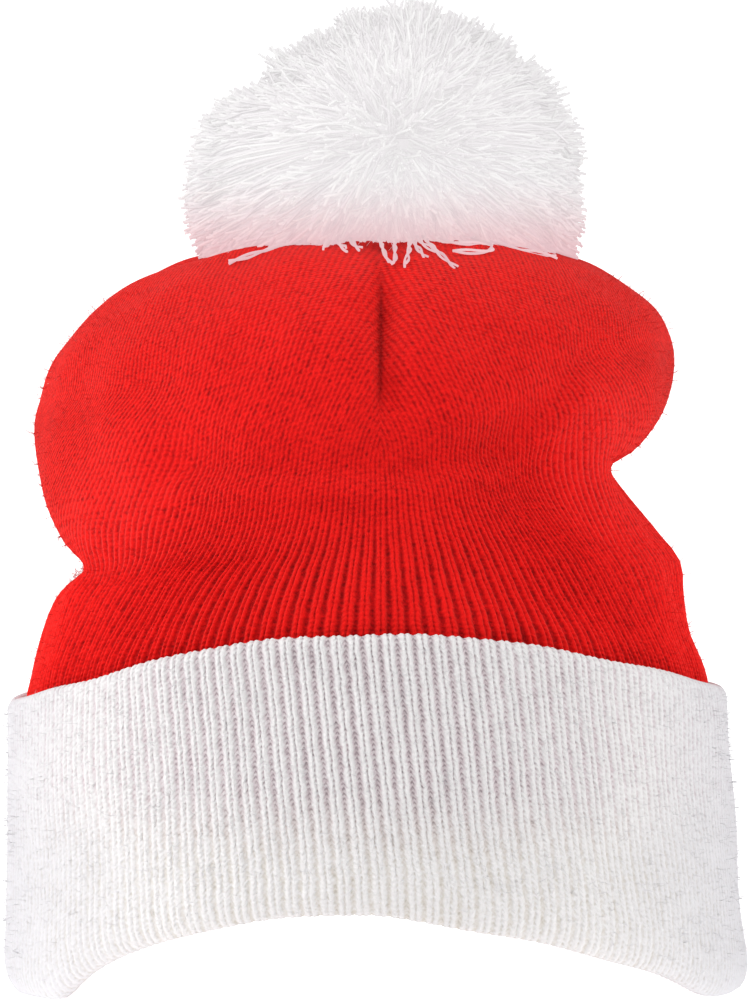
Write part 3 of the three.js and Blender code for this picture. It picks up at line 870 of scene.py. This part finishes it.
# %% The section carried round the head
CUFF_HALF = (87, 100)  # half width and half depth
CUFF_SIDE_TOP = 69
CUFF_TOP_TILT = 1.6
CUFF_LEAN = 2.4
CUFF_SWAY = -2
ARCH_HEIGHT = 21.2
ARCH_EASE = 0.1
ARCH_LEFT = (60.5, 2.3)  # degrees round from the front, and the bend of the run
ARCH_RIGHT = (66, 1.3)


def cuff_bottom(angle):
    right = np.cos(angle) >= 0
    reach, bend = (np.where(right, *sides) for sides in zip(ARCH_RIGHT, ARCH_LEFT))
    span = 1 - (np.arccos(np.minimum(1, np.abs(np.sin(angle)))) / np.radians(reach)) ** bend
    soft = np.maximum(0, span + ARCH_EASE) ** 2 / (4 * ARCH_EASE)
    return ARCH_HEIGHT * np.where(span < ARCH_EASE, soft, span)


def cuff_point(section, angle):
    inset, level, lift = (section[:, k, None] for k in range(3))
    bottom = cuff_bottom(angle)
    top = CUFF_SIDE_TOP + front_rise(angle) + CUFF_TOP_TILT * np.cos(angle)
    height = bottom + level * (top - bottom) + lift
    share = (height - BULGE_HEIGHT) / CUFF_SIDE_TOP
    inward = inset + CUFF_LEAN * share
    x = (CUFF_HALF[0] - inward) * np.cos(angle) + CUFF_SWAY * share
    y = (CUFF_HALF[1] - inward) * np.sin(angle)
    return np.stack((x, y, height), axis=-1)


print("the cuff arches up in front by mm:", cuff_bottom(np.array(-np.pi / 2)).round(1))

# %% Cuff mesh
CUFF_RELIEF = 0.95
CUFF_SPLIT = 0.5
PRESSED_HEIGHT = 1.2  # the ribs are pressed flat below this height
CUFF_SWELL = 0.45
CUFF_SWELL_LENGTH = 34
CUFF_SWAY_RUN = 150
CUFF_SHEAR = 0.05  # the front ribs lean to the right from the lip down
RED_BEHIND = (30, 52)  # heights over which the red crown comes in behind the white

sway = strand_sway(np.linspace(0, CUFF_SWAY_RUN, len(section)), 5)
shear = CUFF_SHEAR * np.maximum(0, -np.sin(column_angles)) * (0.5 - section[:, 1:2])
cuff_outer = cuff_point(section, column_angles[None, :] + sway * (section[:, 3:] > 0) + shear)
closed_cuff = np.concatenate((cuff_outer[-1:], cuff_outer, cuff_outer[:1]))
cuff_normals = outward(closed_cuff)[1:-1]
standing = eased(cuff_outer[..., 2], 0, PRESSED_HEIGHT)
backed = eased(cuff_outer[..., 2], *RED_BEHIND)
stretched = np.sin(column_angles) ** 2  # as in the crown, but the cuff closes up further over the ears
cuff_open = (0.1 + 0.9 * stretched) * (0.7 + 0.3 * backed)
cuff_relief = CUFF_RELIEF * (0.12 + 0.88 * stretched) * (0.6 + 0.4 * backed)
furrow = cuff_relief * section[:, 3:] * standing * (1 - strand_height(rib_columns, cuff_open, CUFF_SPLIT))
swell = CUFF_SWELL * standing * unevenness(cuff_outer, CUFF_SWELL_LENGTH, 7)
cuff_outer = cuff_outer + cuff_normals * (swell - furrow)[..., None]
cuff_outer[..., 2] = np.maximum(cuff_outer[..., 2], 0)
cuff_along = length_along(np.concatenate((cuff_outer, cuff_outer[:1])))
cuff_uv = [knit_uv(cuff_along, *plain_ribs(rib_columns, len(cuff_along)))]
cuff_faces = [grid_faces(len(section) + 1, len(rib_columns)) % standing.size]
cuff_fields = {"opened": cuff_open, "backed": backed}
cuff_knit = mesh_object("cuff_knit", cuff_outer.reshape(-1, 3), cuff_faces, white_knit, cuff_uv, cuff_fields)
add_piece(cuff_knit, "cuff")

# %% [markdown]
# ## Pompom yarn as a material
# The pompom is the same acrylic yarn, cut into short lengths. Light goes on from strand to strand inside it,
# so the whole ball looks soft, with hardly a dark gap, and the lowest yarn is pink with light from the crown.
# To get that look without thousands of bounces, each strand is shaded mostly as if it were the ball's own
# surface, a glow stands for the light from inside, and the yarn itself is grey to make up for the glow. The
# crown's red light on the lowest yarn is painted into its colour, fading out upwards. A random value for
# each strand gives no two of them quite the same tone.

# %% Pompom yarn material
POMPOM_MIDDLE = np.array((2.7, 1, 185.5))
BALL_SHARE = 0.85  # how far the shading follows the ball and not the strand
INNER_GLOW = 3.5
WARMED = (164 * MM, 190 * MM)  # heights over which the red light fades out
YARN_RELIEF = 0.3


def cut_yarn(name, shade_colour, yarn_colour, light_colour, red_light_colour):
    """Loose cut acrylic yarn: matt, soft and bright, with a slightly different white in each strand."""
    material, tree = new_material(name)
    strand = add_node(tree, "NewGeometry")["Random Per Island"]
    place = add_node(tree, "TexCoord")["Object"]
    fuzz = noise(tree, place, 1 / (FIBRE * 3 * MM), 3.0)
    depth = maths(tree, "MULTIPLY_ADD", fuzz, 0.5, strand)
    colour = colour_ramp(tree, depth, (0.1, shade_colour), (0.6, yarn_colour), (1.0, light_colour))
    bump = add_node(tree, "Bump", {"Height": fuzz, "Strength": 0.6, "Distance": YARN_RELIEF * MM})[0]
    away = vectors(tree, "NORMALIZE", vectors(tree, "SUBTRACT", place, POMPOM_MIDDLE * MM)[0])[0]
    facing = add_node(tree, "Mix", {0: BALL_SHARE, 4: bump, 5: away}, data_type="VECTOR")[1]
    facing = vectors(tree, "NORMALIZE", facing)[0]
    # Painted reflection: the crown's red light, painted into the colour of the lowest yarn.
    height = add_node(tree, "SeparateXYZ", {"Vector": place})["Z"]
    red_light_share = ranged(tree, height, (1.0, 0.0), WARMED, **SMOOTH)
    colour = mixed(tree, red_light_share, colour, linear(red_light_colour), blend_type="MULTIPLY")
    look = {"Base Color": colour, "Normal": facing, "Roughness": 0.95, "IOR": 1.48}
    halo = {"Sheen Weight": 0.3, "Sheen Roughness": 0.6, "Specular IOR Level": 0.12}
    glow = {"Emission Color": colour, "Emission Strength": INNER_GLOW}
    finish_material(tree, look, halo, glow)
    return material


white_yarn = cut_yarn("white_cut_acrylic_yarn", "#7b797a", "#7d7b7c", "#807f7f", "#fdcad0")
print("yarn material:", white_yarn.name)

# %% [markdown]
# ## Pompom
# A pompom is made by winding yarn round a card, tying it in the middle and cutting the loops, so every strand
# runs out from the tie. This one has been squashed: it parts in a hollow at the front, and the bunches are
# combed away from it to the left, up and to the right. The partings and the reach of the yarn are the
# solid's, and then the ball is trimmed to its outline in the photograph, as scissors trim a real one. Each
# strand is a smooth curve from the heart to its cut end. They are so thin and so many here that their plies
# can't be told apart, so one tube is enough for each.

# %% Directions and reach of the yarn
YARN_REACH = 47
LOWEST_YARN = -0.42  # sine of its lift
GOLDEN_TURN = np.pi * (3 - np.sqrt(5))
PARTINGS = np.array([  # turn and lift in degrees, depth in mm, spread in degrees
    (182, 41, 11, 10),  # between the left and top bunches
    (212, 44, 9, 10),  # the same, further to the front
    (152, 44, 9, 10),  # and to the back
    (186, 64, 7, 14),  # left shoulder of the top bunch
    (222, 64, 4, 12),  # the same, further to the front
    (0, 45, 4, 5),  # nick in the right bunch
    (274, 16, 7, 15),  # hollow at the front where three bunches part
    (262, 48, 4, 14),  # its upper end
    (0, 1, 2.5, 8),  # right
    (80, 30, 6, 15),  # back
    (128, 5, 4, 12),  # back left
])
OUTLINE = np.array([  # seen from the front: degrees from the right by way of the top, and reach in mm
    (-90, 46.5), (-14, 45), (-7, 46.1), (4, 43.4), (13, 47), (24, 47), (35, 48), (43, 46.7), (45.5, 43),
    (48, 46.3), (57, 46.8), (65, 45.9), (80, 46.4), (94, 44.4), (103, 43.6), (106, 41), (114, 40.7),
    (122, 39.6), (127, 42.6), (131, 42.5), (135.5, 38.3), (149, 43.2), (158, 45.4), (174, 45.3),
    (186, 45.9), (195, 44.4), (270, 46.5),
])
SHORT_BELOW = 0.2  # how much shorter the yarn is that would hang down over the front of the crown


def unit(arrows):
    return arrows / np.linalg.norm(arrows, axis=-1, keepdims=True)


def direction_of(turn, lift):
    return np.stack((np.cos(lift) * np.cos(turn), np.cos(lift) * np.sin(turn), np.sin(lift)), axis=-1)


def spread_directions(count):
    number = np.arange(count)
    lift = np.arcsin(LOWEST_YARN + (1 - LOWEST_YARN) * (number + 0.5) / count)
    return direction_of(number * GOLDEN_TURN, lift)


def degrees_to(directions, ways):
    return np.degrees(np.arccos(np.clip(directions @ ways.T, -1, 1)))


def yarn_reach(directions):
    parting_ways = direction_of(np.radians(PARTINGS[:, 0]), np.radians(PARTINGS[:, 1]))
    return YARN_REACH - bell(degrees_to(directions, parting_ways), PARTINGS[:, 3]) @ PARTINGS[:, 2]


def kept_below(directions):
    below = eased(-directions[:, 2], 0.1, 0.4) * np.maximum(0, -directions[:, 1]) ** 2
    return 1 - SHORT_BELOW * below


def trimmed(reach, directions):
    """Reach that is cut back to the ball's outline."""
    turn = (np.degrees(np.arctan2(directions[:, 2], directions[:, 0])) + 90) % 360 - 90
    seen = np.hypot(directions[:, 0], directions[:, 2])
    return np.minimum(reach, np.interp(turn, *OUTLINE.T) / np.maximum(seen, 0.2))


shortest = yarn_reach(spread_directions(500)).min().round(1)
print("shortest and longest yarn in mm:", shortest, YARN_REACH)

# %% Tubes along many curves at once, and the dome under them
DOME_FOOT = 9.5  # the row where the dome starts
DOME_TILT = 0.03
DOME_SHIFT = 1
CLEAR_OF_CROWN = 0.8


def tubes(paths, radii, sides, seed):
    """Closed tubes along paths of shape (tubes, points, 3), joined into one set of points and triangles."""
    draw = np.random.default_rng(seed)
    count, length, _ = paths.shape
    along = unit(np.gradient(paths, axis=1))
    guide = unit(draw.normal(size=(count, 1, 3)))
    normal = unit(guide - (guide * along).sum(-1, keepdims=True) * along)
    binormal = np.cross(along, normal)
    turn = FULL_TURN * np.arange(sides) / sides
    ring = normal[:, :, None] * np.cos(turn)[:, None] + binormal[:, :, None] * np.sin(turn)[:, None]
    points = paths[:, :, None] + np.broadcast_to(radii, (count, length))[..., None, None] * ring
    index = np.arange(count * length * sides).reshape(count, length, sides)
    beside = np.roll(index, -1, axis=2)
    lower = np.stack((index[:, :-1], beside[:, :-1], beside[:, 1:]), axis=-1).reshape(-1, 3)
    upper = np.stack((index[:, :-1], beside[:, 1:], index[:, 1:]), axis=-1).reshape(-1, 3)
    corners = np.arange(1, sides - 1)
    caps = [np.stack((index[:, 0, 0], index[:, 0, k + 1], index[:, 0, k]), axis=-1) for k in corners]
    caps += [np.stack((index[:, -1, 0], index[:, -1, k], index[:, -1, k + 1]), axis=-1) for k in corners]
    return points.reshape(-1, 3), np.concatenate((lower, upper, *caps))


def dome_rings(top_row, count):
    """Half widths and heights of the crown's rings from the top row down to the dome's foot."""
    rows_up = np.linspace(top_row, DOME_FOOT, count)
    return (crown_value("half", rows_up) + crown_value("front", rows_up)) / 2, crown_value("up", rows_up)


def above_crown(points):
    x, y = points[..., 0], points[..., 1]
    dome = np.interp(np.hypot(x + DOME_SHIFT, y), *dome_rings(TOP_ROW, 60)) + DOME_TILT * x
    lifted = np.maximum(points[..., 2], dome + CLEAR_OF_CROWN)
    return np.stack((x, y, lifted), axis=-1)


print("dome height in mm:", dome_rings(TOP_ROW, 60)[1][0].round(1))

# %% Where each yarn ends
YARNS = 15500
HEART_WAY = direction_of(radians(277), radians(24))  # the hollow that the front yarn is combed out from
WAY_JITTER = 0.03
THINNED = ((12, 28, 55, 70), (0.12, 0.5, 0.55, 1))  # degrees from the hollow, and the share of yarn kept
TUFTS = 130
TUFT_PULL = 0.28
TUFT_COMB = 0.07

draw = np.random.default_rng(21)
ways = unit(spread_directions(YARNS) + draw.normal(scale=WAY_JITTER, size=(YARNS, 3)))
low = 0.8 * eased(0.25 - ways[:, 2], 0, 0.3)  # low down most of it is kept, even under the hollow
density = np.interp(degrees_to(ways, HEART_WAY[None])[:, 0], *THINNED)
ways = ways[draw.uniform(size=YARNS) < np.maximum(density, low)]
tufts = spread_directions(TUFTS)
tuft_of = np.argmax(ways @ tufts.T, axis=1)
ways = unit(ways + TUFT_PULL * (tufts[tuft_of] - ways))
hearts = unit(HEART_WAY + draw.normal(scale=TUFT_COMB, size=(TUFTS, 3)))[tuft_of]
count = len(ways)
print("yarns:", count, "in tufts:", TUFTS)

# %% Curves from the heart to the cut ends
YARN_POINTS = 6
COMBED = (85, 135)  # degrees from the hollow over which combed yarn gives way to yarn that stands out
LYING = (35, 80)  # degrees from the hollow over which the yarn stops lying down
INNER_SHARE = (0.62, 0.68)  # of its reach where straight and combed yarn comes into view
SEEN_FROM = (0.08, 0.36)  # shares of a strand's length over which it starts
CUT_BACK = 0.9
CUT_JITTER = (1.0, 0.8, 0.45)  # of each strand's length, of each tuft's and of the trim
OVERLONG = 0.8  # the yarn is this much longer before the ball is trimmed
WANDER = 1.0

apart = np.arccos(np.clip((ways * hearts).sum(axis=1), -0.999, 0.999))[:, None]
combed = 1 - eased(np.degrees(apart), *COMBED)
standing = eased(np.degrees(apart), *LYING)
reach = yarn_reach(ways) - CUT_BACK + draw.normal(scale=CUT_JITTER[0], size=count)
reach += draw.normal(scale=CUT_JITTER[1], size=TUFTS)[tuft_of]
reach *= kept_below(ways)
reach = trimmed(reach + OVERLONG, ways) + draw.normal(scale=CUT_JITTER[2], size=count)
reach = reach[:, None] * (0.8 + 0.2 * standing)
start = draw.uniform(*SEEN_FROM, (count, 1))
share = start + (1 - start) * np.linspace(0, 1, YARN_POINTS)
turned = 1 - combed * (1 - share) ** (1.1 + 0.6 * standing)
curve = (np.sin((1 - turned) * apart) / np.sin(apart))[..., None] * hearts[:, None]
curve += (np.sin(turned * apart) / np.sin(apart))[..., None] * ways[:, None]
inner = INNER_SHARE[0] + (INNER_SHARE[1] - INNER_SHARE[0]) * combed
curve *= (reach * (inner + (1 - inner) * share**1.25))[..., None]
swing = draw.normal(scale=WANDER, size=(2, count, 1, 3))
share = share[..., None]
curve += POMPOM_MIDDLE + share * (swing[0] * np.sin(4 * share) + swing[1] * np.sin(7 * share))
curve = above_crown(curve)
print("mean reach of the yarn in mm:", reach.mean().round(1))

# %% Three bunches of tubes
YARN_RADIUS = 0.36
TOP_BUNCH = 0.62  # sine of the lift above which yarn belongs to the top bunch

bunch_of = np.where(ways[:, 2] > TOP_BUNCH, "top", np.where(ways[:, 0] < 0, "left", "right"))
for bunch in ("left", "top", "right"):
    points, faces = tubes(curve[bunch_of == bunch], YARN_RADIUS * np.linspace(0.8, 1.05, YARN_POINTS), 3, 31)
    add_piece(mesh_object(f"pompom_yarn_{bunch}", points, [faces], white_yarn), "pompom")

# %% [markdown]
# ## Packed yarn
# Deep in a real pompom the yarn is packed so tightly that nothing shows between the strands. Many thousand
# more strands would fill it, at a high cost for what is hardly seen. One closed body of the same yarn stands
# for them. It follows the partings and the trimmed outline, and lies deepest in the hollow at the front.

# %% Packed yarn in the middle
CORE_GRID = (33, 96)
CORE_LIFTS = (-84, 84)
CORE_DEGREES = (0, 20, 45, 65, 85, 120)  # from the hollow
CORE_SHARES = (0.655, 0.66, 0.7, 0.77, 0.84, 0.82)  # of the yarn's reach

lift = np.radians(np.linspace(*CORE_LIFTS, CORE_GRID[0]))[:, None]
turn = np.linspace(0, FULL_TURN, CORE_GRID[1], endpoint=False)[None, :]
core_ways = direction_of(*np.broadcast_arrays(turn, lift)).reshape(-1, 3)
core_share = np.interp(degrees_to(core_ways, HEART_WAY[None])[:, 0], CORE_DEGREES, CORE_SHARES)
core_reach = trimmed(yarn_reach(core_ways), core_ways) * core_share * kept_below(core_ways)
core = core_ways * core_reach[:, None]
core = above_crown(POMPOM_MIDDLE + core * (1 + 0.02 * unevenness(core, 6, 17))[:, None])
size = len(core)
ends = np.array((core[: CORE_GRID[1]].mean(axis=0), core[-CORE_GRID[1] :].mean(axis=0)))
bottom = fan(np.arange(CORE_GRID[1]), size)[:, ::-1]
top = fan(np.arange(size - CORE_GRID[1], size), size + 1)
faces = [grid_faces(*CORE_GRID), bottom, top]
packed = mesh_object("pompom_packed_yarn", np.concatenate((core, ends)), faces, white_yarn)
add_piece(packed, "pompom")

# %% [markdown]
# ## Loose ends
# Some yarns have slipped out of the tie. They hang out below the front of the pompom, one as a loop, and lie
# on the red dome. Each is given by a few points, across and up, and the dome gives the depth. Cutting the
# corners of that line three times rounds it. These lie apart, so their two plies show, wound round each
# other.

# %% Loose ends on the dome
LOOSE_ENDS = (
    ((-8, 177), (-9.7, 175), (-11.6, 172)),
    ((-9, 177), (-8.6, 174), (-6.4, 171.6)),
    ((-6.5, 177), (-5.6, 174), (-3.2, 171.8)),
    ((0, 177), (1.5, 173.4), (3.1, 168.4), (4.9, 168.2), (4.6, 173), (5, 177)),  # the loop
    ((8, 177), (8.2, 172), (7, 167.8)),
    ((8.6, 177), (9.2, 173), (11.7, 169.8)),
    ((9, 177), (11, 173), (14.9, 171)),
    ((10, 177), (14, 171.4), (18.6, 167.3)),
    ((-12, 176), (-18, 174), (-26, 171.4), (-33.5, 168.9)),
    ((12, 176), (17, 173.2), (27.4, 173.6), (27, 171), (18, 171.4)),  # a flat loop
    ((20, 176), (30, 172.6), (42, 170.4)),
)
LOOSE_POINTS = 26
LOOSE_LIFT = 1.6  # the yarn lies this far above the dome
PLIES = 2
PLY_RADIUS = 0.31
PLY_TURNS = 0.07  # for each millimetre


def plied(curves, draw):
    """The plies of many yarns, wound round their curves and spread a little at the cut end."""
    along = unit(np.gradient(curves, axis=1))
    side = unit(np.cross(along, draw.normal(size=(len(curves), 1, 3))))
    over = np.cross(along, side)
    run = length_along(curves.swapaxes(0, 1)).T
    twist = FULL_TURN * (PLY_TURNS * run + draw.uniform(size=(len(curves), 1)))
    spread = PLY_RADIUS * (0.95 + 0.6 * (run / run[:, -1:]) ** 4)[..., None]
    turns = [(twist + FULL_TURN * ply / PLIES)[..., None] for ply in range(PLIES)]
    return np.concatenate([curves + spread * (np.cos(turn) * side + np.sin(turn) * over) for turn in turns])


def rounded(line, count):
    line = np.array(line, dtype=float)
    for _ in range(3):
        near, far = 0.75 * line[:-1] + 0.25 * line[1:], 0.25 * line[:-1] + 0.75 * line[1:]
        line = np.concatenate((line[:1], np.stack((near, far), axis=1).reshape(-1, 2), line[-1:]))
    run = length_along(line)
    steps = np.linspace(0, run[-1], count)
    return np.column_stack([np.interp(steps, run, line[:, k]) for k in range(2)])


def on_dome(line):
    """Points across and up, laid on the front of the dome."""
    wide, heights = dome_rings(len(CROWN_ROWS) - 1, 80)
    across, up = line.T
    away = np.interp(-(up - DOME_TILT * across - LOOSE_LIFT), -heights, wide)
    return np.column_stack((across, -np.sqrt(np.maximum(away**2 - (across + DOME_SHIFT) ** 2, 100)), up))


draw = np.random.default_rng(47)
loose = np.stack([on_dome(rounded(line, LOOSE_POINTS)) for line in LOOSE_ENDS])
points, faces = tubes(plied(loose, draw), PLY_RADIUS * np.linspace(1, 1.1, LOOSE_POINTS), 4, 53)
add_piece(mesh_object("pompom_loose_ends", points, [faces], white_yarn), "pompom")

# %% [markdown]
# ## Fuzz
# Brushed acrylic sheds a haze of single fibres, which shows best along the outline. Each fibre is a thin
# closed tube of three points that starts just under the surface, stands up and bends over to a random side.
# Real fibres are 0.02 mm thick and would vanish, so these are drawn coarser and fewer.

# %% Fibres on the knit and the pompom
FUZZ_RADII = 0.045 * np.array((1.2, 1.0, 0.5))
KNIT_FUZZ = 4600
POMPOM_FUZZ = 2400
KNIT_FUZZ_LENGTHS = (0.8, 2.6)
POMPOM_FUZZ_LENGTHS = (1.5, 5)
FUZZ_ROWS = (1.1, 12)  # the rows of the crown that show


def fuzz_on(node, feet, normals, lengths, material, seed):
    draw = np.random.default_rng(seed)
    length = draw.uniform(*lengths, (len(feet), 1))
    sideways = draw.normal(scale=0.7, size=(len(feet), 3))
    middle = feet + length * (0.45 * normals + 0.25 * sideways)
    end = feet + length * (0.6 * normals + 0.8 * sideways)
    points, faces = tubes(np.stack((feet - 0.3 * normals, middle, end), axis=1), FUZZ_RADII, 3, seed + 1)
    points[:, 2] = np.maximum(points[:, 2], 0.1)
    add_piece(mesh_object(f"{node}_fuzz", points, [faces], material), node)


draw = np.random.default_rng(61)
crown_seen = (outer_rows > FUZZ_ROWS[0]) & (outer_rows < FUZZ_ROWS[1])
cuff_seen = section[:, 3] > 0.9
for node, seen, surface, normals, material, slot, seed in (
    ("crown", crown_seen, crown_outer, crown_normals, red_knit, "red_knit", 63),
    ("cuff", cuff_seen, cuff_outer, cuff_normals, white_knit, "white_knit", 67),
):
    picks = draw.choice(np.flatnonzero(seen), KNIT_FUZZ), draw.integers(0, len(rib_columns), KNIT_FUZZ)
    fuzz_on(node, surface[picks], normals[picks], KNIT_FUZZ_LENGTHS, material, seed)
strands = draw.integers(0, len(curve), POMPOM_FUZZ)
feet = curve[strands, draw.integers(YARN_POINTS // 2, YARN_POINTS, POMPOM_FUZZ)]
fuzz_on("pompom", feet, unit(feet - POMPOM_MIDDLE), POMPOM_FUZZ_LENGTHS, white_yarn, 71)
